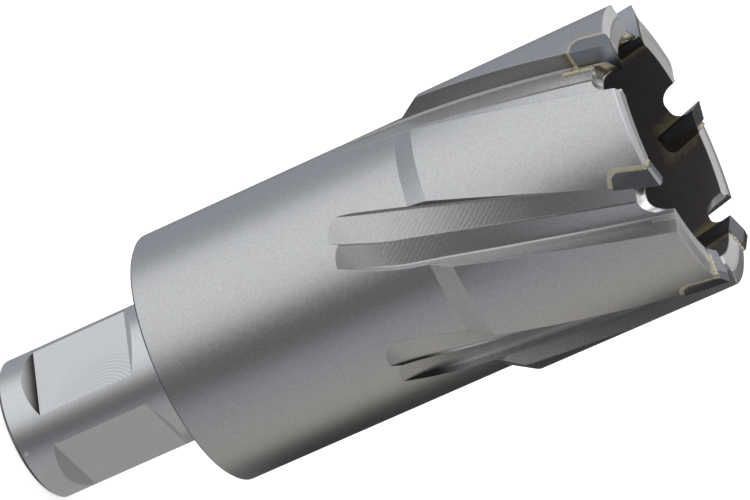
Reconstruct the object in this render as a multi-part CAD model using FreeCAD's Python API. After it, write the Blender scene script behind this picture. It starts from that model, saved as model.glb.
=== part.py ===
import FreeCAD, Part
import math
import os

# Annular cutter: a hollow core drill with a two-flat shank, six helical flutes and six brazed carbide tips.
# Millimetres. Origin at the centre of the shank end, +Z along the axis to the teeth.
# Angles are in degrees round the axis: 0 points along -Y and they grow towards +X, the way the teeth cut.

# Shank
SHANK_DIAMETER = 19.05
SHANK_LENGTH = 24.2
SHANK_END_CHAMFER = 0.45
FLAT_COUNT = 2
FLAT_SPACING = 90.0
FIRST_FLAT_ANGLE = -41.0
FLAT_DEPTH = 1.5
FLAT_LENGTH = 13.5
FLAT_START_HEIGHT = 5.0
FLAT_END_SLOPE = 48.0

# Cutting ring: the tips cut a kerf between the hole's wall and the core that is left standing
CUTTING_DIAMETER = 38.1
KERF_WIDTH = 4.2

# Bores
PILOT_BORE_DIAMETER = 8.1
PILOT_BORE_CHAMFER = 0.6
CORE_DEPTH = 54.0
CORE_FLOOR_CONE = 3.0

# Body and the wider land round the teeth
BODY_STEP = 2.08
BODY_LENGTH = 68.2
SHOULDER_CHAMFER = 0.3
LAND_CLEARANCE = 0.12
LAND_LENGTH = 26.9
LAND_BACK_TAPER = 0.1
CONE_LENGTH = 3.1
RIM_RIDGE_HEIGHT = 0.15
RIM_RIDGE_SHARE = 0.6
RIM_INNER_DROP = 0.05

# Teeth
TOOTH_COUNT = 6
RAKE_ANGLE_AT_RIM = 10.7
WALL_TWIST = 1.09

# Flute floor: two flats side by side, each milled by its own pass of a disc
FLOOR_DEPTHS = (0.82, 0.97)
FLOOR_EDGES_AT_RIM = (18.9, 28.1)
FLOOR_TWISTS = (0.93, 0.86)
RUNOUT_TWIST = 1.2
RUNOUT_START_DEPTH = 41.1
RUNOUT_DISC_RADIUS = 23.5
WALL_FOOT_CHAMFER = 0.25
HEEL_FOOT_ANGLE = 1.6
HEEL_LEAN_ANGLE = 1.3
RUNOUT_SECTIONS = 6
FLUTE_SECTIONS = 7

# Gullet in front of each tooth
GULLET_WIDTH = 4.1
GULLET_DEPTH = 2.75
GULLET_CORNER_RADIUS = 1.6
GULLET_TILT = 36.0

# Carbide tip and the braze round it
TIP_THICKNESS = 2.15
TIP_HEIGHT = 5.5
TIP_LEAN = 17.0
TIP_STAND_OUT = 0.15
TIP_CORNER_CHAMFER = 0.6
TIP_RELIEF_ANGLE = 2.5
TIP_RIM_REACH = 0.8
TIP_RIDGE_RISE = 0.1
TIP_RIDGE_SHARE = 0.73
TIP_INSIDE_FALL = 0.3
TIP_INSIDE_REACH = 0.15
TIP_END_RELIEF = 11.0
BRAZE_THICKNESS = 0.6
BRAZE_FRONT = 0.25
POCKET_CORNER_RADIUS = 1.2
POCKET_CORNER_STEPS = 6

# Cutting tools run past the surfaces that they cut by this much
OVERRUN = 1.5

SHANK_RADIUS = SHANK_DIAMETER / 2
PILOT_RADIUS = PILOT_BORE_DIAMETER / 2
CUTTING_RADIUS = CUTTING_DIAMETER / 2
CORE_RADIUS = CUTTING_RADIUS - KERF_WIDTH
BODY_RADIUS = CUTTING_RADIUS - BODY_STEP
LAND_RADIUS = CUTTING_RADIUS - LAND_CLEARANCE
RIM_HEIGHT = SHANK_LENGTH + BODY_LENGTH
CORE_FLOOR_HEIGHT = RIM_HEIGHT - CORE_DEPTH
RUNOUT_START_HEIGHT = RIM_HEIGHT - RUNOUT_START_DEPTH
CLEAR_RADIUS = CUTTING_RADIUS + OVERRUN
TOOTH_PITCH = 360.0 / TOOTH_COUNT
AXIS = FreeCAD.Vector(0, 0, 1)
ORIGIN = FreeCAD.Vector(0, 0, 0)


def outward(angle):
    """Unit vector that points away from the axis at this angle."""
    a = math.radians(angle)
    return FreeCAD.Vector(math.sin(a), -math.cos(a), 0)


def forward(angle):
    """Unit vector along the cutting direction at this angle."""
    a = math.radians(angle)
    return FreeCAD.Vector(math.cos(a), math.sin(a), 0)


def polar(angle, radius, height):
    """Point at this angle, distance from the axis and height."""
    return outward(angle) * radius + AXIS * height


def prism(points, along):
    """Solid made by pushing a closed flat outline along a vector."""
    outline = Part.makePolygon(points + [points[0]])
    return Part.Face(outline).extrude(along)


def turned_blank():
    """The whole body of revolution: shank, shoulder, cone, land, core cavity and pilot bore."""
    cone_top = RIM_HEIGHT - LAND_LENGTH
    cone_foot = cone_top - CONE_LENGTH
    ridge_radius = CORE_RADIUS + (LAND_RADIUS - CORE_RADIUS) * RIM_RIDGE_SHARE
    profile = [
        (PILOT_RADIUS + PILOT_BORE_CHAMFER, 0),
        (SHANK_RADIUS - SHANK_END_CHAMFER, 0),
        (SHANK_RADIUS, SHANK_END_CHAMFER),
        (SHANK_RADIUS, SHANK_LENGTH),
        (BODY_RADIUS - SHOULDER_CHAMFER, SHANK_LENGTH),
        (BODY_RADIUS, SHANK_LENGTH + SHOULDER_CHAMFER),
        (BODY_RADIUS, cone_foot),
        (LAND_RADIUS - LAND_BACK_TAPER, cone_top),
        (LAND_RADIUS, RIM_HEIGHT),
        (ridge_radius, RIM_HEIGHT + RIM_RIDGE_HEIGHT),
        (CORE_RADIUS, RIM_HEIGHT - RIM_INNER_DROP),
        (CORE_RADIUS, CORE_FLOOR_HEIGHT),
        (PILOT_RADIUS, CORE_FLOOR_HEIGHT - CORE_FLOOR_CONE),
        (PILOT_RADIUS, PILOT_BORE_CHAMFER),
    ]
    corners = [FreeCAD.Vector(radius, 0, height) for radius, height in profile]
    face = Part.Face(Part.makePolygon(corners + [corners[0]]))
    return face.revolve(ORIGIN, AXIS, 360)


def flat_cutter(angle):
    """Trapezoid bar that mills one shank flat, with sloped ends."""
    floor = SHANK_RADIUS - FLAT_DEPTH
    top = SHANK_RADIUS + OVERRUN
    run = (top - floor) / math.tan(math.radians(FLAT_END_SLOPE))
    start = FLAT_START_HEIGHT
    end = FLAT_START_HEIGHT + FLAT_LENGTH
    side = forward(angle) * -SHANK_DIAMETER
    corners = [(floor, start), (top, start - run), (top, end + run), (floor, end)]
    points = [polar(angle, radius, height) + side for radius, height in corners]
    return prism(points, forward(angle) * (2 * SHANK_DIAMETER))


def rake_wall_angle(height):
    """Where the flute's radial wall stands at this height."""
    return RAKE_ANGLE_AT_RIM + WALL_TWIST * (height - RIM_HEIGHT)


def full_depth_height(strip):
    """Height where the disc has reached the strip's full depth."""
    depth = FLOOR_DEPTHS[strip]
    return RUNOUT_START_HEIGHT + math.sqrt(depth * (2 * RUNOUT_DISC_RADIUS - depth))


def floor_edge_angle(strip, height):
    """Where the leading edge of a floor strip lies at this height."""
    above = max(height - full_depth_height(strip), 0)
    below = min(height - full_depth_height(strip), 0)
    at_full_depth = FLOOR_EDGES_AT_RIM[strip] + FLOOR_TWISTS[strip] * (full_depth_height(strip) - RIM_HEIGHT)
    return at_full_depth + FLOOR_TWISTS[strip] * above + RUNOUT_TWIST * below


def floor_distance(strip, height):
    """Distance of a floor strip from the axis: it lifts along the disc's arc where the flute runs out."""
    below = min(height - full_depth_height(strip), 0)
    lift = RUNOUT_DISC_RADIUS - math.sqrt(RUNOUT_DISC_RADIUS ** 2 - below ** 2)
    return BODY_RADIUS - FLOOR_DEPTHS[strip] + lift


def strip_section(strip, height):
    """Closed outline of one flute pass at this height, from its wall to its heel."""
    back = rake_wall_angle(height) if strip == 0 else floor_edge_angle(strip - 1, height)
    front = floor_edge_angle(strip, height)
    distance = floor_distance(strip, height)
    foot_radius = distance / math.cos(math.radians(front - back))
    corner = math.degrees(WALL_FOOT_CHAMFER / foot_radius)
    corner_radius = distance / math.cos(math.radians(front - back - corner))
    heel_foot = front + HEEL_FOOT_ANGLE
    heel_foot_radius = distance + FLOOR_DEPTHS[strip]
    heel_lean = HEEL_LEAN_ANGLE / (LAND_RADIUS - BODY_RADIUS)
    heel_top = heel_foot + heel_lean * (CLEAR_RADIUS - heel_foot_radius)
    points = [
        polar(back, foot_radius + WALL_FOOT_CHAMFER, height),
        polar(back + corner, corner_radius, height),
        polar(front, distance, height),
        polar(heel_foot, heel_foot_radius, height),
        polar(heel_top, CLEAR_RADIUS, height),
        polar(back, CLEAR_RADIUS, height),
    ]
    return Part.makePolygon(points + [points[0]])


def flute_cutter(strip):
    """One helical milling pass: sections lofted from the run-out to past the rim."""
    full = full_depth_height(strip)
    start = RUNOUT_START_HEIGHT - OVERRUN
    end = RIM_HEIGHT + RIM_RIDGE_HEIGHT + OVERRUN
    heights = [start + (full - start) * i / RUNOUT_SECTIONS for i in range(RUNOUT_SECTIONS)]
    heights += [full + (end - full) * i / FLUTE_SECTIONS for i in range(FLUTE_SECTIONS + 1)]
    return Part.makeLoft([strip_section(strip, height) for height in heights], True, False)


class ToothFrame:
    """Local directions of the first tooth: out from the axis, up along the leaning tip, and ahead of its face."""

    def __init__(self):
        root_height = RIM_HEIGHT + TIP_RIM_REACH - TIP_HEIGHT
        middle = root_height + TIP_HEIGHT / 2
        angle = rake_wall_angle(middle)
        lean = math.radians(TIP_LEAN)
        self.root_height = root_height
        self.out = outward(angle)
        self.level = forward(angle)
        self.up = self.level * math.sin(lean) + AXIS * math.cos(lean)
        self.ahead = self.level * math.cos(lean) - AXIS * math.sin(lean)
        shift = TIP_STAND_OUT - (middle - root_height) * math.tan(lean)
        self.root = self.level * shift + AXIS * root_height

    def point(self, ahead, up):
        """Point of the tooth's side view, which lies in the plane through the axis."""
        return self.root + self.ahead * ahead + self.up * up


def radial_prism(tooth, outline):
    """Push an outline of the tooth's own plane out through the whole wall."""
    inner = tooth.out * (CORE_RADIUS / 2)
    points = [tooth.point(ahead, up) + inner for ahead, up in outline]
    return prism(points, tooth.out * CLEAR_RADIUS)


def tip_outline():
    """Side view of a tip with its lower back corner cut off; its top runs on past the rim."""
    back = -TIP_THICKNESS
    top = TIP_HEIGHT + OVERRUN
    return [(0, 0), (back + TIP_CORNER_CHAMFER, 0), (back, TIP_CORNER_CHAMFER), (back, top), (0, top)]


def pocket_outline():
    """Side view of the tip's pocket, wider than the tip by the braze and round at its lower back corner."""
    back = -TIP_THICKNESS - BRAZE_THICKNESS
    top = TIP_HEIGHT + OVERRUN
    radius = POCKET_CORNER_RADIUS
    points = [(BRAZE_FRONT, -BRAZE_THICKNESS)]
    for i in range(POCKET_CORNER_STEPS + 1):
        turn = math.pi / 2 * i / POCKET_CORNER_STEPS
        points.append((back + radius - radius * math.sin(turn), radius - BRAZE_THICKNESS - radius * math.cos(turn)))
    return points + [(back, top), (BRAZE_FRONT, top)]


def roof_height(radius):
    """Height of a tip's cutting end over its outer corner at this distance from the axis."""
    inside = CORE_RADIUS - TIP_INSIDE_REACH
    ridge = inside + (CUTTING_RADIUS - inside) * TIP_RIDGE_SHARE
    if radius > ridge:
        return TIP_RIDGE_RISE * (CUTTING_RADIUS - radius) / (CUTTING_RADIUS - ridge)
    return TIP_RIDGE_RISE - (TIP_RIDGE_RISE + TIP_INSIDE_FALL) * (ridge - radius) / (ridge - inside)


def tip_roof(tooth):
    """Everything below a tip's cutting end, which has a low ridge and falls away behind the edge."""
    inside = CORE_RADIUS - TIP_INSIDE_REACH
    ridge = inside + (CUTTING_RADIUS - inside) * TIP_RIDGE_SHARE
    slope = math.tan(math.radians(TIP_END_RELIEF))
    edge = TIP_STAND_OUT + TIP_HEIGHT / 2 * math.tan(math.radians(TIP_LEAN))
    start = tooth.level * (edge + OVERRUN) + AXIS * (RIM_HEIGHT + TIP_RIM_REACH + slope * OVERRUN)
    foot = tooth.level * (edge + OVERRUN) + AXIS * (tooth.root_height - OVERRUN)
    outer = CUTTING_RADIUS + OVERRUN
    inner = inside - OVERRUN
    points = [foot + tooth.out * inner, foot + tooth.out * outer]
    points += [start + tooth.out * radius + AXIS * roof_height(radius) for radius in (outer, ridge, inner)]
    run = TIP_THICKNESS + edge + 2 * OVERRUN
    return prism(points, tooth.level * -run - AXIS * (slope * run))


def carbide_tip(tooth):
    """One tip: radial block, ground to the cutting diameter with relief, and roofed at its end."""
    block = radial_prism(tooth, tip_outline())
    drop = TIP_THICKNESS * math.tan(math.radians(TIP_RELIEF_ANGLE))
    inside = CORE_RADIUS - TIP_INSIDE_REACH
    base = tooth.point(0, -OVERRUN)
    back = tooth.ahead * -TIP_THICKNESS
    ring_points = [
        base + tooth.out * inside,
        base + tooth.out * CUTTING_RADIUS,
        base + back + tooth.out * (CUTTING_RADIUS - drop),
        base + back + tooth.out * (inside + drop),
    ]
    ground = prism(ring_points, tooth.up * (TIP_HEIGHT + 2 * OVERRUN))
    swept = Part.makeCylinder(CUTTING_RADIUS, RIM_HEIGHT + TIP_HEIGHT)
    return block.common(ground).common(swept).common(tip_roof(tooth))


def tip_pocket(tooth):
    """Notch through the wall that the tip is brazed into."""
    return radial_prism(tooth, pocket_outline())


def gullet_cutter(tooth):
    """Round-cornered slot just ahead of the tip, falling outwards so that chips leave into the flute."""
    tilt = math.radians(GULLET_TILT)
    direction = tooth.out * math.cos(tilt) - tooth.up * math.sin(tilt)
    floor_up = (RIM_HEIGHT - GULLET_DEPTH - tooth.root_height) / math.cos(math.radians(TIP_LEAN))
    start_radius = CORE_RADIUS / 2
    rise = (BODY_RADIUS - FLOOR_DEPTHS[0] - start_radius) * math.tan(tilt)
    corner = tooth.point(0, floor_up + rise) + tooth.out * start_radius
    length = (CLEAR_RADIUS - start_radius) / math.cos(tilt)
    tall = GULLET_DEPTH + TIP_RIM_REACH + 4 * OVERRUN
    box = prism([
        corner,
        corner + tooth.ahead * GULLET_WIDTH,
        corner + tooth.ahead * GULLET_WIDTH + tooth.up * tall,
        corner + tooth.up * tall,
    ], direction * length)
    lower = [edge for edge in box.Edges if is_lower_corner(edge, corner, tooth, direction)]
    return box.makeFillet(GULLET_CORNER_RADIUS, lower)


def is_lower_corner(edge, corner, tooth, direction):
    """True for the two long bottom edges of the gullet slot."""
    along = edge.Vertexes[1].Point - edge.Vertexes[0].Point
    is_long = abs(along.normalize().dot(direction)) > 0.999
    from_corner = edge.Vertexes[0].Point - corner
    height = from_corner.dot(tooth.up) + from_corner.dot(tooth.out) * math.tan(math.radians(GULLET_TILT))
    return is_long and abs(height) < GULLET_CORNER_RADIUS


def turned(shape, tooth_number):
    """Copy of a first-tooth shape at another tooth."""
    copy = shape.copy()
    copy.rotate(ORIGIN, AXIS, TOOTH_PITCH * tooth_number)
    return copy


def build():
    """Every node of the cutter by name."""
    tooth = ToothFrame()
    body = turned_blank()
    for i in range(FLAT_COUNT):
        body = body.cut(flat_cutter(FIRST_FLAT_ANGLE + FLAT_SPACING * i))
    cutters = [flute_cutter(strip) for strip in range(len(FLOOR_DEPTHS))]
    cutters.append(gullet_cutter(tooth))
    for i in range(TOOTH_COUNT):
        for cutter in cutters:
            body = body.cut(turned(cutter, i))
    tip = carbide_tip(tooth)
    pocket = tip_pocket(tooth)
    braze = body.common(pocket).cut(tip)
    for i in range(TOOTH_COUNT):
        body = body.cut(turned(pocket, i))
    nodes = {"cutter_body": body}
    for i in range(TOOTH_COUNT):
        nodes["carbide_tip_%d" % (i + 1)] = turned(tip, i)
        nodes["braze_seam_%d" % (i + 1)] = turned(braze, i)
    return nodes


os.makedirs("parts", exist_ok=True)
for name, shape in build().items():
    print(name, "solids", len(shape.Solids), "valid", shape.isValid(), "volume", round(shape.Volume, 3))
    shape.exportStep("parts/%s.step" % name)
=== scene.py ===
import bpy
import math
from mathutils import Matrix, Vector


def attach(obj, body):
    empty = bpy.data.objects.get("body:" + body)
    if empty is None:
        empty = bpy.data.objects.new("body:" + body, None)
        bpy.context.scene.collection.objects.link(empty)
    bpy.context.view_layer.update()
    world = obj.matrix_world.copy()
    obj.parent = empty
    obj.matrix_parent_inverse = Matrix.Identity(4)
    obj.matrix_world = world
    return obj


# Annular cutter, dressed: satin steel body, ground carbide tips and cream braze, on a pale floor.


def rgb(red, green, blue):
    """Opaque colour."""
    return (red, green, blue, 1.0)


MM = 0.001

# Places on the solids that the finishes follow
SHANK_RADIUS = 9.525 * MM
SHOULDER_HEIGHT = 24.2 * MM
FLAT_TURN = math.radians(-41.0)
FLAT_REACH = 8.025 * MM
CORE_RADIUS = 14.85 * MM
CORE_FLOOR = 38.4 * MM
BODY_RADIUS = 16.97 * MM
RIM_HEIGHT = 92.4 * MM
GULLET_FLOOR = 89.65 * MM
HEEL_FOOT_RADIUS = 16.2 * MM
TEETH = 6
TOOTH_HALF = math.pi / TEETH
TIP_MIDDLE_ANGLE = math.radians(5.0)
TIP_MIDDLE_HEIGHT = 90.3 * MM
TIP_HALF_WIDTH = 1.4 * MM
TIP_HALF_HEIGHT = 2.2 * MM
TIP_SLOPE = 0.3

# Frame of the first tip, for the beads beside it: degrees, and millimetres from the axis and the shank's end
TIP_FRAME_ANGLE = 8.57
TIP_LEAN_ANGLE = 17.0
TIP_ROOT_SHIFT = -0.691
TIP_ROOT_HEIGHT = 87.7

# Noises: scale per metre, detail and roughness
GRAIN_NOISE = (3800.0, 3.0, 0.65)
CLOUD_NOISE = (120.0, 3.0, 0.5)
SCALE_EDGE_NOISE = (900.0, 3.0, 0.5)
SCALE_NOISE = (260.0, 4.0, 0.6)
HALO_NOISE = (800.0, 4.0, 0.65)
DRIFT_NOISE = (350.0, 2.0, 0.5)
PATCHY_NOISE = (500.0, 2.0, 0.5)
CARBIDE_CLOUD_NOISE = (700.0, 3.0, 0.5)
CARBIDE_GRAIN_NOISE = (6500.0, 2.0, 0.6)
BRAZE_NOISE = (1500.0, 4.0, 0.6)
FLOOR_NOISE = (30.0, 2.0, 0.5)

# Ramps: a finish, or a painted light or shade, begins at the first value and is full at the second
GRAIN_RAMP = (0.58, 0.40)
SHANK_RAMP = (SHOULDER_HEIGHT, SHOULDER_HEIGHT - 0.1 * MM)
RIM_RAMP = (RIM_HEIGHT - 0.25 * MM, RIM_HEIGHT - 0.1 * MM)
END_EDGE_RAMP = (0.55 * MM, 0.40 * MM)
SHOULDER_EDGE_INWARD = (BODY_RADIUS - 0.03 * MM, BODY_RADIUS - 0.09 * MM)
SHOULDER_EDGE_TOP = (SHOULDER_HEIGHT + 0.34 * MM, SHOULDER_HEIGHT + 0.26 * MM)
SHOULDER_EDGE_FOOT = (SHOULDER_HEIGHT - 0.05 * MM, SHOULDER_HEIGHT)
CORE_WALL_RAMP = (CORE_RADIUS + 0.12 * MM, CORE_RADIUS + 0.04 * MM)
CORE_FOOT_RAMP = (CORE_FLOOR - 3.4 * MM, CORE_FLOOR - 3.2 * MM)
CORE_TOP_RAMP = (RIM_HEIGHT + 0.1 * MM, RIM_HEIGHT - 0.15 * MM)
FLUTE_RAMP = (BODY_RADIUS - 0.12 * MM, BODY_RADIUS - 0.2 * MM)
OUTSIDE_CORE_RAMP = (CORE_RADIUS + 0.12 * MM, CORE_RADIUS + 0.2 * MM)
GULLET_RAMP = (GULLET_FLOOR - 0.4 * MM, GULLET_FLOOR + 0.1 * MM)
STEEP_RAMP = (0.75, 0.6)
WALL_RAMP = (0.6, 0.75)
WALL_FOOT_RAMP = (CORE_RADIUS + 0.3 * MM, CORE_RADIUS + 0.4 * MM)
HEEL_RAMP = (-0.15, -0.3)
HEEL_TOP_RAMP = (HEEL_FOOT_RADIUS + 0.2 * MM, HEEL_FOOT_RADIUS)
HEEL_LOW_RAMP = (CORE_RADIUS + 0.5 * MM, CORE_RADIUS + 0.6 * MM)
BURNT_RAMP = (CORE_RADIUS + 0.9 * MM, CORE_RADIUS + 0.2 * MM)

# Halos round the tips: how far they are solid, how far they reach and how soft the ragged rim is
CORE_HALO = (0.0, 1.7 * MM, 1.5 * MM)
STAIN_HALO = (1.1 * MM, 1.6 * MM, 0.4 * MM)
SINGED_HALO = (0.6 * MM, 2.2 * MM, 1.2 * MM)

# Painted shade on the small walls where one flute runs out, and on the wall at the foot of the first shank flat
RUN_OUT_OUTER_RAMP = (BODY_RADIUS + 0.08 * MM, BODY_RADIUS)
RUN_OUT_LEFT_RAMP = (math.radians(32), math.radians(36))
RUN_OUT_RIGHT_RAMP = (math.radians(68), math.radians(60))
RUN_OUT_FOOT_RAMP = (45 * MM, 47 * MM)
RUN_OUT_TOP_RAMP = (60 * MM, 55 * MM)
LEVEL_RAMP = (0.5, 0.7)
FLAT_WALL_FOOT_RAMP = (2.0 * MM, 3.0 * MM)
FLAT_WALL_TOP_RAMP = (9.0 * MM, 8.0 * MM)
FLAT_WALL_ROOT_RAMP = (FLAT_REACH - 0.2 * MM, FLAT_REACH - 0.1 * MM)
FLAT_WALL_FADE = (SHANK_RADIUS, FLAT_REACH)

# Arcs of the face mill on the first shank flat, and the painted glint on the nick on the shank's end
ARC_SIDE = 7.5 * MM
ARC_HEIGHT = 14.0 * MM
ARC_PITCH = 0.50 * MM
ARC_LINE_RAMP = (-0.2, 0.9)
ARC_FADE = (10.0 * MM, 4.5 * MM)
ARC_TOP_RAMP = (SHOULDER_HEIGHT, SHOULDER_HEIGHT - 1.0 * MM)
ON_FLAT_RAMP = (0.03 * MM, 0.01 * MM)
NICK_PLACE = (2.35 * MM, -9.22 * MM, 1.1 * MM)
NICK_RAMP = (0.42 * MM, 0.22 * MM)

# Cutter marks on the flute floors, the grain and the rounding of edges
MARKS_FOOT_RAMP = (54 * MM, 60 * MM)
MARKS_TOP_RAMP = (82 * MM, 74 * MM)
MARK_DRIFT = 0.6 * MM
MARK_SLANT = 0.0216
MARK_PITCH = 0.92 * MM
MARK_STRENGTHS = (0.2, 1.0)
MARK_DEPTH = 0.0038 * MM
GRAIN_DEPTH = 0.007 * MM
EDGE_ROUNDING = 0.10 * MM
LESS_IN_FLUTES = 0.09 * MM
BEVEL_SAMPLES = 6

# Steel tints, painted light and shade among them, and how strongly some of them cover
CLOUD_SPREAD = (0.35, 0.65)
SATIN_DARK = rgb(0.585, 0.590, 0.595)
SATIN_LIGHT = rgb(0.625, 0.630, 0.635)
SATIN_GRAIN = rgb(0.535, 0.535, 0.54)
# Painted sheen: the whole shank is lifted towards this brighter tint, standing in for reflected floor light
SHANK_SHEEN_TINT = rgb(0.86, 0.87, 0.88)
SHANK_SHEEN_SHARE = 0.35
# Ground rim, brightened with a painted highlight
RIM_HIGHLIGHT_TINT = rgb(0.75, 0.75, 0.76)
# Painted shade on the shank's end edge and along the shoulder
EDGE_SHADE_TINT = rgb(0.20, 0.20, 0.22)
SCALE_DARK = rgb(0.105, 0.092, 0.092)
SCALE_LIGHT = rgb(0.165, 0.147, 0.147)
SCALE_EDGE_SWING = 0.10 * MM
HALO_TINT = rgb(0.34, 0.285, 0.18)
# Painted highlight: the steep gullet faces are lifted towards this tint
GULLET_HIGHLIGHT_TINT = rgb(0.88, 0.88, 0.88)
STAIN_TINT = rgb(0.075, 0.062, 0.05)
STAIN_SHARE = 0.92
# Painted shade on the cutting walls of the flutes
WALL_SHADE_TINT = rgb(0.20, 0.185, 0.17)
WALL_SHADE_SHARE = 0.6
SINGED_TINT = rgb(0.25, 0.205, 0.125)
# Painted highlight along the foot of each heel
HEEL_FOOT_HIGHLIGHT_TINT = rgb(0.95, 0.95, 0.95)
# Painted shade on the run-out walls and on the wall at the foot of the first shank flat
CORNER_SHADE_TINT = rgb(0.05, 0.045, 0.04)
ARC_TINT = rgb(0.33, 0.33, 0.34)
ARC_SHARE = 0.38
# Painted glint on the nick on the shank's end
NICK_GLINT_TINT = rgb(1.0, 1.0, 1.0)
STEEL_ROUGHNESS = 0.31
GRAIN_ROUGHNESS = 0.10
SCALE_ROUGHNESS = 0.25
SCALE_METAL_LOSS = 0.75

# Carbide and braze
CARBIDE_DARK = rgb(0.29, 0.305, 0.34)
CARBIDE_LIGHT = rgb(0.36, 0.375, 0.41)
CARBIDE_ROUGHNESS = (0.27, 0.37)
CARBIDE_GRAIN_DEPTH = 0.003 * MM
CARBIDE_ROUNDING = 0.06 * MM
CREAM_DARK = rgb(0.56, 0.51, 0.36)
CREAM_LIGHT = rgb(0.78, 0.74, 0.58)
BURNT_DARK = rgb(0.045, 0.038, 0.03)
BURNT_LIGHT = rgb(0.10, 0.085, 0.06)
BRAZE_METAL = 0.55
BRAZE_ROUGHNESS = (0.42, 0.60)
BRAZE_DEPTH = 0.05 * MM
BRAZE_ROUNDING = 0.08 * MM

# Beads of braze: places in a tip's own frame and radii, in millimetres
RIM_BEAD_OUT = (15.8, 16.7, 17.8, 18.6)
RIM_BEAD_AHEAD = -2.5
RIM_BEAD_UP = 4.22
RIM_BEAD_RADIUS = 0.22
THICK_BEAD = 1
THICK_BEAD_RADIUS = 0.34
SPILT_TOOTH = 5
SPILT_OUT = 16.22
SPILT_AHEAD = 0.5
SPILT_UP = (-2.3, -1.1, 0.1, 1.3, 2.3)
SPILT_RADIUS = 0.38
SPILT_SEED = 3
BEAD_STEPS = 5
BEAD_SIDES = 8
BEAD_END = 0.45
BEAD_LEVEL = Vector((0.3, 0.2, 1.0))
WIDE_LUMPS = (0.22, 2.3)
NARROW_LUMPS = (0.12, 5.1)

# Camera: where the photograph was taken from, on the part's own axes
CAMERA_PLACE = Vector((0.0, -0.6120, 0.2394))
CAMERA_TARGET = Vector((-0.00322, 0.0, 0.05157))
CAMERA_ROLL = math.radians(65.83)
CAMERA_LENS = 244.4
SENSOR_WIDTH = 36.0
CLIP_NEAR = 0.01
CLIP_FAR = 10.0

# Studio lobes, each painted over the ones before: azimuth, half width and softness in degrees, and tint
STUDIO_DARK = rgb(0.03, 0.028, 0.026)
FRONT_LOBE = (14.0, 60.0, 10.0, rgb(0.12, 0.12, 0.125))
KEY_LOBE = (-56.0, 46.0, 12.0, rgb(0.97, 0.985, 1.0))
WARM_LOBE = (76.0, 38.0, 12.0, rgb(0.51, 0.49, 0.46))
PLAIN_LOBE = (50.0, 18.0, 12.0, rgb(0.44, 0.45, 0.475))
COOL_LOBE = (-130.0, 32.0, 14.0, rgb(0.40, 0.42, 0.46))
STUDIO_LOBES = (FRONT_LOBE, KEY_LOBE, WARM_LOBE, PLAIN_LOBE, COOL_LOBE)

# Studio bands: ramps on the azimuth or on the direction's own x, y and z
BACK_RAMP = (math.radians(166.0), math.radians(176.0))
BACK_LOW_RAMP = (0.02, -0.08)
BACK_TINT = rgb(0.90, 0.90, 0.92)
IN_FRONT_RAMP = (0.35, -0.15)
ABOVE_RAMP = (0.0, 0.08)
FRONT_DIMMING = 0.75
CARD_RAMP = (0.17, 0.28)
CARD_RIGHT_RAMP = (-0.03, 0.07)
CARD_LATER_ON_THE_RIGHT = 0.40
GAP_RAMP = (0.50, 0.56)
GAP_TINT = rgb(0.10, 0.10, 0.11)
CEILING_RAMP = (0.66, 0.78)
CEILING_TINT = rgb(0.97, 0.97, 0.98)
WHITE = rgb(1.0, 1.0, 1.0)

# Floor, and the lit patch that metal mirrors in it
FLOOR_HALF = 0.6
FLOOR_DARK = rgb(0.80, 0.80, 0.80)
FLOOR_LIGHT = rgb(0.84, 0.84, 0.84)
FLOOR_ROUGHNESS = 0.8
FLOOR_LIFT = 0.7
PATCH_TINT = rgb(0.44, 0.43, 0.42)
PATCH_RADIUS_RAMP = (0.091, 0.049)
PATCH_ANGLE_RAMP = (math.radians(35.0), math.radians(55.0))

# Lamps: name, azimuth and elevation in degrees, distance, width and height in metres, and power in watts
LAMPS = (
    ("key_box", -52.0, 20.0, 0.60, 0.30, 0.45, 0.35),
    ("top_box", 0.0, 85.0, 0.55, 0.35, 0.35, 0.38),
)
LAMP_AIM = Vector((0.0, 0.0, 0.055))


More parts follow.
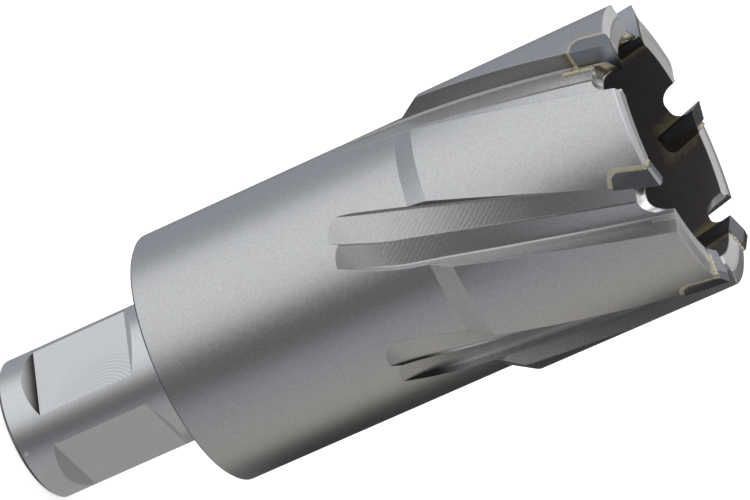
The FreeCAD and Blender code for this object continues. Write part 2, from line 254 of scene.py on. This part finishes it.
class Graph:
    """Short calls for the shader nodes used here."""

    def __init__(self, tree):
        self.tree = tree

    def node(self, kind, **settings):
        made = self.tree.nodes.new(kind)
        for key, value in settings.items():
            setattr(made, key, value)
        return made

    def link(self, source, target):
        self.tree.links.new(source, target)

    def fill(self, socket, value):
        if isinstance(value, bpy.types.NodeSocket):
            self.link(value, socket)
        else:
            socket.default_value = value

    def split(self, vector):
        made = self.node("ShaderNodeSeparateXYZ")
        self.link(vector, made.inputs[0])
        return made.outputs

    def maths(self, operation, *values):
        made = self.node("ShaderNodeMath", operation=operation)
        for socket, value in zip(made.inputs, values):
            self.fill(socket, value)
        return made.outputs[0]

    def product(self, first, *others):
        for other in others:
            first = self.maths("MULTIPLY", first, other)
        return first

    def dot(self, first, second):
        """Dot product of two level vectors."""
        return self.maths("ADD", *(self.product(a, b) for a, b in zip(first, second)))

    def length(self, first, second):
        return self.maths("SQRT", self.dot((first, second), (first, second)))

    def azimuth(self, x, y):
        """Angle round the axis from the camera's side, growing towards +X."""
        return self.maths("ARCTAN2", x, self.product(y, -1.0))

    def step(self, value, start, full):
        """0 before start and 1 past full, smooth between, whichever of the two is larger."""
        made = self.node("ShaderNodeMapRange", interpolation_type="SMOOTHSTEP", clamp=True)
        self.fill(made.inputs["Value"], value)
        falling = start > full
        made.inputs["From Min"].default_value = min(start, full)
        made.inputs["From Max"].default_value = max(start, full)
        made.inputs["To Min"].default_value = 1.0 if falling else 0.0
        made.inputs["To Max"].default_value = 0.0 if falling else 1.0
        return made.outputs["Result"]

    def between(self, value, low, high):
        """Straight scale from 0..1 to low..high."""
        made = self.node("ShaderNodeMapRange", clamp=True)
        self.fill(made.inputs["Value"], value)
        self.fill(made.inputs["To Min"], low)
        self.fill(made.inputs["To Max"], high)
        return made.outputs["Result"]

    def blend(self, factor, first, second):
        """Colour from first at factor 0 to second at factor 1."""
        made = self.node("ShaderNodeMix", data_type="RGBA")
        self.fill(made.inputs[0], factor)
        self.fill(made.inputs[6], first)
        self.fill(made.inputs[7], second)
        return made.outputs[2]

    def noise(self, vector, scale, detail, roughness):
        made = self.node("ShaderNodeTexNoise")
        self.link(vector, made.inputs["Vector"])
        made.inputs["Scale"].default_value = scale
        made.inputs["Detail"].default_value = detail
        made.inputs["Roughness"].default_value = roughness
        return made.outputs["Fac"]

    def bump(self, height, distance, normal):
        made = self.node("ShaderNodeBump")
        made.inputs["Strength"].default_value = 1.0
        made.inputs["Distance"].default_value = distance
        self.link(height, made.inputs["Height"])
        self.link(normal, made.inputs["Normal"])
        return made.outputs["Normal"]

    def rounded_edges(self, radius):
        made = self.node("ShaderNodeBevel", samples=BEVEL_SAMPLES)
        self.fill(made.inputs["Radius"], radius)
        return made.outputs["Normal"]

    def glow(self, kind, colour, strength=1.0):
        """Emission or world background."""
        made = self.node(kind)
        self.fill(made.inputs["Color"], colour)
        self.fill(made.inputs["Strength"], strength)
        return made.outputs[0]

    def choose(self, factor, first, second):
        """First shader at factor 0, second at factor 1."""
        made = self.node("ShaderNodeMixShader")
        for socket, source in zip(made.inputs, (factor, first, second)):
            self.link(source, socket)
        return made.outputs[0]


class Place:
    """Where the shaded point lies: its own axes in metres, and its radius, angle and height round the axis."""

    def __init__(self, g):
        self.vector = g.node("ShaderNodeTexCoord").outputs["Object"]
        self.x, self.y, self.height = g.split(self.vector)
        self.radius = g.length(self.x, self.y)
        self.angle = g.azimuth(self.x, self.y)


class SteelPlace(Place):
    """Adds which way the face looks, the grain and the regions that several finishes share."""

    def __init__(self, g):
        super().__init__(g)
        level_x, level_y, self.normal_up = g.split(g.node("ShaderNodeNewGeometry").outputs["True Normal"])
        outward = g.dot((self.x, self.y), (level_x, level_y))
        self.facing = g.maths("ABSOLUTE", g.maths("DIVIDE", outward, self.radius))
        sideways = g.maths("SUBTRACT", g.product(self.x, level_y), g.product(self.y, level_x))
        self.around = g.maths("DIVIDE", sideways, self.radius)
        self.over_flat = g.dot((self.x, self.y), (math.sin(FLAT_TURN), -math.cos(FLAT_TURN)))
        self.grain = g.noise(self.vector, *GRAIN_NOISE)
        self.cloud = g.noise(self.vector, *CLOUD_NOISE)
        self.rim = g.step(self.height, *RIM_RAMP)
        self.flute = g.step(self.radius, *FLUTE_RAMP)
        self.outside_core = g.step(self.radius, *OUTSIDE_CORE_RAMP)


def new_material(name):
    """New node material, its graph and its shader."""
    material = bpy.data.materials.new(name)
    material.use_nodes = True
    return material, Graph(material.node_tree), material.node_tree.nodes["Principled BSDF"]


def tip_halo(g, at, halo, ragged):
    """1 within the solid distance of the tips and 0 beyond their reach, with a ragged rim."""
    solid, reach, softness = halo
    turn = g.maths("WRAP", g.maths("SUBTRACT", at.angle, TIP_MIDDLE_ANGLE), -TOOTH_HALF, TOOTH_HALF)
    up = g.maths("SUBTRACT", at.height, TIP_MIDDLE_HEIGHT)
    leaned = g.maths("SUBTRACT", g.product(turn, CORE_RADIUS), g.product(up, TIP_SLOPE))
    beside = g.maths("MAXIMUM", g.maths("SUBTRACT", g.maths("ABSOLUTE", leaned), TIP_HALF_WIDTH), 0.0)
    below = g.maths("MAXIMUM", g.product(up, -1.0), 0.0)
    below = g.maths("MAXIMUM", g.maths("SUBTRACT", below, TIP_HALF_HEIGHT), 0.0)
    swing = g.maths("MULTIPLY_ADD", ragged, 2 * softness, -softness)
    return g.step(g.maths("ADD", g.length(beside, below), swing), reach, solid)


def satin(g, at):
    """Satin steel, with a painted sheen brightening the shank, a painted highlight on the ground rim and painted shade
    on the turned edges.
    """
    tint = g.blend(g.between(at.cloud, *CLOUD_SPREAD), SATIN_DARK, SATIN_LIGHT)
    tint = g.blend(g.step(at.grain, *GRAIN_RAMP), tint, SATIN_GRAIN)
    # Painted sheen that brightens the whole shank
    tint = g.blend(g.product(g.step(at.height, *SHANK_RAMP), SHANK_SHEEN_SHARE), tint, SHANK_SHEEN_TINT)
    # Painted highlight on the ground rim
    tint = g.blend(at.rim, tint, RIM_HIGHLIGHT_TINT)
    # Painted shade on the shank's end edge and along the shoulder
    shoulder_shade = g.product(g.step(at.radius, *SHOULDER_EDGE_INWARD), g.step(at.height, *SHOULDER_EDGE_TOP),
                              g.step(at.height, *SHOULDER_EDGE_FOOT))
    return g.blend(g.maths("MAXIMUM", g.step(at.height, *END_EDGE_RAMP), shoulder_shade), tint, EDGE_SHADE_TINT)


def core_mask(g, at):
    """1 inside the core, up to the machined rim."""
    noise = g.noise(at.vector, *SCALE_EDGE_NOISE)
    ragged = g.maths("MULTIPLY_ADD", noise, SCALE_EDGE_SWING, -SCALE_EDGE_SWING / 2)
    return g.product(g.step(g.maths("ADD", at.radius, ragged), *CORE_WALL_RAMP),
                     g.step(at.height, *CORE_FOOT_RAMP), g.step(at.height, *CORE_TOP_RAMP))


def core_scale(g, at):
    """Dark scale, with a paler burnt halo round each tip."""
    scale = g.blend(g.noise(at.vector, *SCALE_NOISE), SCALE_DARK, SCALE_LIGHT)
    halo = tip_halo(g, at, CORE_HALO, g.noise(at.vector, *HALO_NOISE))
    return g.blend(halo, scale, HALO_TINT)


def gullets(g, at, coat):
    """Painted highlight that brightens the gullets, with a brown stain next to each tip."""
    region = g.product(at.flute, at.outside_core, g.step(at.height, *GULLET_RAMP))
    # Painted highlight on the steep gullet faces
    coat = g.blend(g.product(g.step(at.facing, *STEEP_RAMP), region), coat, GULLET_HIGHLIGHT_TINT)
    below_rim = g.maths("SUBTRACT", 1.0, at.rim)
    stain = g.product(region, tip_halo(g, at, STAIN_HALO, at.cloud), below_rim, STAIN_SHARE)
    return g.blend(stain, coat, STAIN_TINT)


def flute_walls(g, at, coat):
    """Painted shade on the cutting walls, singed near the tips, and a painted highlight along the foot of each heel.
    """
    wall = g.product(g.step(at.around, *WALL_RAMP), g.step(at.radius, *WALL_FOOT_RAMP))
    # Painted shade on the cutting walls
    coat = g.blend(g.product(wall, WALL_SHADE_SHARE), coat, WALL_SHADE_TINT)
    coat = g.blend(g.product(wall, tip_halo(g, at, SINGED_HALO, at.cloud)), coat, SINGED_TINT)
    # Painted highlight along the foot of each heel
    heel_highlight = g.product(g.step(at.around, *HEEL_RAMP), g.step(at.radius, *HEEL_TOP_RAMP),
                          g.step(at.radius, *HEEL_LOW_RAMP))
    return g.blend(heel_highlight, coat, HEEL_FOOT_HIGHLIGHT_TINT)


def corner_shade_mask(g, at):
    """Where the painted shade goes: 1 on the small walls where one flute runs out, and on the wall at the foot of the
    first shank flat.
    """
    run_out = g.product(g.step(at.facing, *STEEP_RAMP), g.step(at.radius, *RUN_OUT_OUTER_RAMP),
                        g.step(at.angle, *RUN_OUT_LEFT_RAMP), g.step(at.angle, *RUN_OUT_RIGHT_RAMP),
                        g.step(at.height, *RUN_OUT_FOOT_RAMP), g.step(at.height, *RUN_OUT_TOP_RAMP))
    flat_wall = g.product(g.step(g.maths("ABSOLUTE", at.normal_up), *LEVEL_RAMP),
                          g.step(at.height, *FLAT_WALL_FOOT_RAMP), g.step(at.height, *FLAT_WALL_TOP_RAMP),
                          g.step(at.over_flat, *FLAT_WALL_ROOT_RAMP), g.step(at.over_flat, *FLAT_WALL_FADE))
    return g.maths("MAXIMUM", run_out, flat_wall)


def mill_arcs(g, at, coat):
    """Arcs left by the face mill on the first shank flat."""
    across = g.dot((at.x, at.y), (math.cos(FLAT_TURN), math.sin(FLAT_TURN)))
    sweep = g.length(g.maths("SUBTRACT", across, ARC_SIDE), g.maths("SUBTRACT", at.height, ARC_HEIGHT))
    lines = g.step(g.maths("SINE", g.product(sweep, 2 * math.pi / ARC_PITCH)), *ARC_LINE_RAMP)
    off_flat = g.maths("ABSOLUTE", g.maths("SUBTRACT", at.over_flat, FLAT_REACH))
    arcs = g.product(lines, g.step(off_flat, *ON_FLAT_RAMP), g.step(sweep, *ARC_FADE),
                     g.step(at.height, *ARC_TOP_RAMP), ARC_SHARE)
    return g.blend(arcs, coat, ARC_TINT)


def nick_mask(g, at):
    """Where the painted glint goes: 1 on the small nick on the shank's end."""
    away = g.node("ShaderNodeVectorMath", operation="DISTANCE")
    g.link(at.vector, away.inputs[0])
    away.inputs[1].default_value = NICK_PLACE
    return g.step(away.outputs["Value"], *NICK_RAMP)


def steel_relief(g, at):
    """Normal with rounded edges, fine grain, and uneven slanted cutter marks across the flute floors."""
    drift = g.product(g.noise(at.vector, *DRIFT_NOISE), MARK_DRIFT)
    run = g.maths("ADD", g.maths("MULTIPLY_ADD", at.angle, MARK_SLANT, at.height), drift)
    waves = g.maths("SINE", g.product(run, 2 * math.pi / MARK_PITCH))
    patchy = g.between(g.noise(at.vector, *PATCHY_NOISE), *MARK_STRENGTHS)
    marks = g.product(at.flute, g.step(at.height, *MARKS_FOOT_RAMP), g.step(at.height, *MARKS_TOP_RAMP), patchy, waves)
    edges = g.rounded_edges(g.maths("MULTIPLY_ADD", at.flute, -LESS_IN_FLUTES, EDGE_ROUNDING))
    return g.bump(marks, MARK_DEPTH, g.bump(at.grain, GRAIN_DEPTH, edges))


def steel_material():
    """Fine satin steel; dark scale inside the core; milling marks on the flute floors; painted highlight in the
    gullets.
    """
    material, g, shader = new_material("satin_steel")
    at = SteelPlace(g)
    scale = core_mask(g, at)
    coat = g.blend(scale, satin(g, at), core_scale(g, at))
    coat = gullets(g, at, coat)
    coat = flute_walls(g, at, coat)
    # Painted shade on the run-out walls and at the foot of the first shank flat
    coat = g.blend(corner_shade_mask(g, at), coat, CORNER_SHADE_TINT)
    coat = mill_arcs(g, at, coat)
    # Painted glint on the nick on the shank's end
    coat = g.blend(nick_mask(g, at), coat, NICK_GLINT_TINT)
    g.link(coat, shader.inputs["Base Color"])
    roughness = g.maths("MULTIPLY_ADD", at.grain, GRAIN_ROUGHNESS, STEEL_ROUGHNESS)
    g.link(g.maths("ADD", roughness, g.product(scale, SCALE_ROUGHNESS)), shader.inputs["Roughness"])
    g.link(g.maths("MULTIPLY_ADD", scale, -SCALE_METAL_LOSS, 1.0), shader.inputs["Metallic"])
    g.link(steel_relief(g, at), shader.inputs["Normal"])
    return material


def carbide_material():
    """Dark blue-grey ground carbide with a fine grain."""
    material, g, shader = new_material("ground_carbide")
    at = Place(g)
    cloud = g.noise(at.vector, *CARBIDE_CLOUD_NOISE)
    grain = g.noise(at.vector, *CARBIDE_GRAIN_NOISE)
    g.link(g.blend(cloud, CARBIDE_DARK, CARBIDE_LIGHT), shader.inputs["Base Color"])
    shader.inputs["Metallic"].default_value = 1.0
    g.link(g.between(grain, *CARBIDE_ROUGHNESS), shader.inputs["Roughness"])
    g.link(g.bump(grain, CARBIDE_GRAIN_DEPTH, g.rounded_edges(CARBIDE_ROUNDING)), shader.inputs["Normal"])
    return material


def braze_material():
    """Dull cream-gold braze, burnt dark inside the core."""
    material, g, shader = new_material("cream_braze")
    at = Place(g)
    blotch = g.noise(at.vector, *BRAZE_NOISE)
    cream = g.blend(blotch, CREAM_DARK, CREAM_LIGHT)
    burnt = g.blend(blotch, BURNT_DARK, BURNT_LIGHT)
    g.link(g.blend(g.step(at.radius, *BURNT_RAMP), cream, burnt), shader.inputs["Base Color"])
    shader.inputs["Metallic"].default_value = BRAZE_METAL
    g.link(g.between(blotch, *BRAZE_ROUGHNESS), shader.inputs["Roughness"])
    g.link(g.bump(blotch, BRAZE_DEPTH, g.rounded_edges(BRAZE_ROUNDING)), shader.inputs["Normal"])
    return material


def dress(nodes):
    """Give every CAD node its finish, and add the beads of braze."""
    braze = braze_material()
    finishes = {"cutter_body": steel_material(), "carbide_tip": carbide_material(), "braze_seam": braze}
    for name, piece in nodes.items():
        finish = next(material for key, material in finishes.items() if name.startswith(key))
        for slot in piece.material_slots:
            slot.material = finish
    beads(braze)


class Tooth:
    """Places round one tip: how far out, ahead of its face and up along it, in millimetres."""

    def __init__(self, number):
        turn = math.radians(TIP_FRAME_ANGLE + 360.0 / TEETH * number)
        lean = math.radians(TIP_LEAN_ANGLE)
        level = Vector((math.cos(turn), math.sin(turn), 0.0))
        up = Vector((0.0, 0.0, 1.0))
        self.out = Vector((math.sin(turn), -math.cos(turn), 0.0))
        self.up = level * math.sin(lean) + up * math.cos(lean)
        self.ahead = level * math.cos(lean) - up * math.sin(lean)
        self.root = level * TIP_ROOT_SHIFT + up * TIP_ROOT_HEIGHT

    def point(self, out, ahead, up):
        """The same place in the scene, in metres."""
        return (self.root + self.out * out + self.ahead * ahead + self.up * up) * MM


def bead(name, path, radius, finish, seed):
    """Lumpy run of solder along a path of points."""
    line = []
    for start, end in zip(path, path[1:]):
        line += [start.lerp(end, i / BEAD_STEPS) for i in range(BEAD_STEPS)]
    line.append(path[-1])
    last = len(line) - 1
    wide, wide_pace = WIDE_LUMPS
    narrow, narrow_pace = NARROW_LUMPS
    points = []
    for i, centre in enumerate(line):
        ahead = (line[min(i + 1, last)] - line[max(i - 1, 0)]).normalized()
        side = ahead.cross(BEAD_LEVEL).normalized()
        over = ahead.cross(side)
        swell = 1.0 + wide * math.sin(wide_pace * i + seed) + narrow * math.sin(narrow_pace * i + 2 * seed)
        lump = radius * MM * swell * (BEAD_END if i in (0, last) else 1.0)
        for k in range(BEAD_SIDES):
            turn = 2 * math.pi * k / BEAD_SIDES
            points.append(centre + (side * math.cos(turn) + over * math.sin(turn)) * lump)
    faces = []
    for i in range(last):
        here = i * BEAD_SIDES
        there = here + BEAD_SIDES
        for k in range(BEAD_SIDES):
            beside = (k + 1) % BEAD_SIDES
            faces.append((here + k, here + beside, there + beside, there + k))
    faces.append(tuple(range(BEAD_SIDES)))
    faces.append(tuple(range(len(points) - 1, len(points) - 1 - BEAD_SIDES, -1)))
    mesh = bpy.data.meshes.new(name)
    mesh.from_pydata([tuple(p) for p in points], [], faces)
    mesh.shade_smooth()
    mesh.materials.append(finish)
    piece = bpy.data.objects.new(name, mesh)
    bpy.context.scene.collection.objects.link(piece)
    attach(piece, "root")


def beads(finish):
    """Solder squeezed out on the rim behind each tip, and a run of it spilt ahead of one."""
    for number in range(TEETH):
        tooth = Tooth(number)
        path = [tooth.point(out, RIM_BEAD_AHEAD, RIM_BEAD_UP) for out in RIM_BEAD_OUT]
        radius = THICK_BEAD_RADIUS if number == THICK_BEAD else RIM_BEAD_RADIUS
        bead("rim_bead_%d" % (number + 1), path, radius, finish, number)
    tooth = Tooth(SPILT_TOOTH)
    path = [tooth.point(SPILT_OUT, SPILT_AHEAD, up) for up in SPILT_UP]
    bead("spilt_bead", path, SPILT_RADIUS, finish, SPILT_SEED)


def studio_round(g, azimuth):
    """Light round the part by azimuth: a dim front, a broad key, a warm card and a cool side over a dark studio."""
    light = STUDIO_DARK
    for centre, half_width, softness, tint in STUDIO_LOBES:
        away = g.maths("ABSOLUTE", g.maths("SUBTRACT", azimuth, math.radians(centre)))
        lobe = g.step(away, math.radians(half_width + softness), math.radians(half_width - softness))
        light = g.blend(lobe, light, tint)
    return light


def studio_world():
    """White behind the part for the camera; for the steel a studio with a card behind, a gap and a bright ceiling."""
    world = bpy.data.worlds.new("studio")
    bpy.context.scene.world = world
    world.use_nodes = True
    world.node_tree.nodes.clear()
    g = Graph(world.node_tree)
    x, y, z = g.split(g.node("ShaderNodeTexCoord").outputs["Generated"])
    azimuth = g.azimuth(x, y)
    light = studio_round(g, azimuth)
    back = g.product(g.step(g.maths("ABSOLUTE", azimuth), *BACK_RAMP), g.step(z, *BACK_LOW_RAMP))
    light = g.blend(back, light, BACK_TINT)
    in_front = g.step(y, *IN_FRONT_RAMP)
    dimmed = g.product(in_front, g.step(z, *ABOVE_RAMP), FRONT_DIMMING)
    light = g.blend(dimmed, light, STUDIO_DARK)
    lowered = g.product(g.step(x, *CARD_RIGHT_RAMP), CARD_LATER_ON_THE_RIGHT)
    card = g.product(g.step(g.maths("SUBTRACT", z, lowered), *CARD_RAMP), g.maths("SUBTRACT", 1.0, in_front))
    light = g.blend(card, light, CEILING_TINT)
    light = g.blend(g.step(z, *GAP_RAMP), light, GAP_TINT)
    light = g.blend(g.step(z, *CEILING_RAMP), light, CEILING_TINT)
    seen = g.choose(g.node("ShaderNodeLightPath").outputs["Is Camera Ray"],
                    g.glow("ShaderNodeBackground", light), g.glow("ShaderNodeBackground", WHITE))
    g.link(seen, g.node("ShaderNodeOutputWorld").inputs["Surface"])


def floor():
    """Pale floor: white with the part's shadow for the camera; metal mirrors only a lit patch of it."""
    mesh = bpy.data.meshes.new("pale_floor")
    corners = [(-FLOOR_HALF, -FLOOR_HALF, 0), (FLOOR_HALF, -FLOOR_HALF, 0),
               (FLOOR_HALF, FLOOR_HALF, 0), (-FLOOR_HALF, FLOOR_HALF, 0)]
    mesh.from_pydata(corners, [], [(0, 1, 2, 3)])
    sheet = bpy.data.objects.new("pale_floor", mesh)
    bpy.context.scene.collection.objects.link(sheet)
    material, g, shader = new_material("pale_floor")
    at = Place(g)
    g.link(g.blend(g.noise(at.vector, *FLOOR_NOISE), FLOOR_DARK, FLOOR_LIGHT), shader.inputs["Base Color"])
    shader.inputs["Roughness"].default_value = FLOOR_ROUGHNESS
    path = g.node("ShaderNodeLightPath")
    seen = g.node("ShaderNodeAddShader")
    g.link(shader.outputs[0], seen.inputs[0])
    lift = g.product(path.outputs["Is Camera Ray"], FLOOR_LIFT)
    g.link(g.glow("ShaderNodeEmission", WHITE, lift), seen.inputs[1])
    patch = g.product(g.step(at.radius, *PATCH_RADIUS_RAMP), g.step(at.angle, *PATCH_ANGLE_RAMP))
    clear = g.node("ShaderNodeBsdfTransparent").outputs[0]
    mirrored = g.choose(patch, clear, g.glow("ShaderNodeEmission", PATCH_TINT))
    surface = g.choose(path.outputs["Is Glossy Ray"], seen.outputs[0], mirrored)
    g.link(surface, g.tree.nodes["Material Output"].inputs["Surface"])
    mesh.materials.append(material)


def soft_box(name, azimuth, elevation, distance, width, height, power):
    """Area light that faces the part. Azimuth 0 is the camera's side, and it grows towards +X."""
    lamp = bpy.data.lights.new(name, "AREA")
    lamp.shape = "RECTANGLE"
    lamp.size = width
    lamp.size_y = height
    lamp.energy = power
    holder = bpy.data.objects.new(name, lamp)
    a = math.radians(azimuth)
    e = math.radians(elevation)
    away = Vector((math.sin(a) * math.cos(e), -math.cos(a) * math.cos(e), math.sin(e)))
    holder.location = LAMP_AIM + away * distance
    holder.rotation_euler = away.to_track_quat("Z", "Y").to_euler()
    bpy.context.scene.collection.objects.link(holder)


def camera():
    """Camera rolled so that the upright cutter lies across the frame as in the photograph."""
    lens = bpy.data.cameras.new("camera")
    lens.lens = CAMERA_LENS
    lens.sensor_width = SENSOR_WIDTH
    lens.clip_start = CLIP_NEAR
    lens.clip_end = CLIP_FAR
    view = bpy.data.objects.new("camera", lens)
    bpy.context.scene.collection.objects.link(view)
    forward = (CAMERA_TARGET - CAMERA_PLACE).normalized()
    right = forward.cross(Vector((0, 0, 1))).normalized()
    up = right.cross(forward)
    image_right = right * math.cos(CAMERA_ROLL) + up * math.sin(CAMERA_ROLL)
    image_up = up * math.cos(CAMERA_ROLL) - right * math.sin(CAMERA_ROLL)
    turn = Matrix((image_right, image_up, -forward)).transposed()
    view.matrix_world = Matrix.Translation(CAMERA_PLACE) @ turn.to_4x4()
    bpy.context.scene.camera = view


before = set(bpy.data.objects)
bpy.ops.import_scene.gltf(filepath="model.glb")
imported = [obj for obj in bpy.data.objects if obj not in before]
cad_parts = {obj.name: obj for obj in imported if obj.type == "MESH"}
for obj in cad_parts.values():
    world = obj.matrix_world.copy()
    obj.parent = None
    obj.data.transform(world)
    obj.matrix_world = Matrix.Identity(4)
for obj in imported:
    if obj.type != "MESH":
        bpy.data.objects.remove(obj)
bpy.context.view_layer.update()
dress(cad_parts)
studio_world()
floor()
for settings in LAMPS:
    soft_box(*settings)
camera()
bpy.context.scene.view_settings.view_transform = "Standard"
